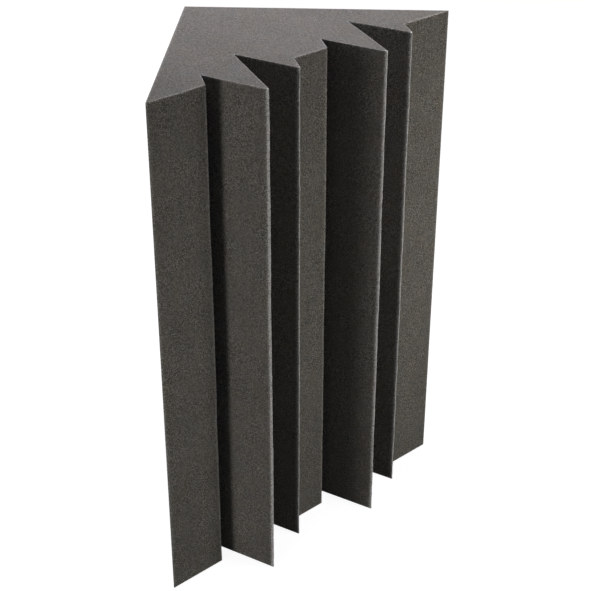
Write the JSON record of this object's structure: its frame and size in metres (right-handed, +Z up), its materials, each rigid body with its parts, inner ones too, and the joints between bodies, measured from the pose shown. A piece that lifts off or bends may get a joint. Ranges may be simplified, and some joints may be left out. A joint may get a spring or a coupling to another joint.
{
  "type": "corner bass trap",
  "caption": "Tall charcoal foam prism that fills a room's corner and soaks up low sound, with a zig-zag front of tall and short ribs and lined mounting tape on both wall faces.",
  "frame": {"origin": "middle of the footprint's bounding box, on the surface the block stands on", "axes": "+Z up along the block's length; the room's left wall is towards -X and its back wall towards +Y, so the room's corner edge is at -X +Y and the zig-zag front faces the room at +X -Y"},
  "size_m": [0.306, 0.306, 0.6096],
  "materials": {
    "foam": "charcoal open-cell polyurethane foam, dead matt, sawn faces with fine open pores and frayed edges",
    "tape": "white closed-cell foam tape with adhesive on both faces, matt",
    "liner": "pale silicone-coated release paper, slightly glossy, without print"
  },
  "bodies": {
    "root": {"foam_block": "foam", "left_wall_inner_tape": "tape", "left_wall_outer_tape": "tape", "back_wall_inner_tape": "tape", "back_wall_outer_tape": "tape", "left_wall_inner_liner": "liner", "left_wall_outer_liner": "liner", "back_wall_inner_liner": "liner", "back_wall_outer_liner": "liner"}
  },
  "joints": []
}
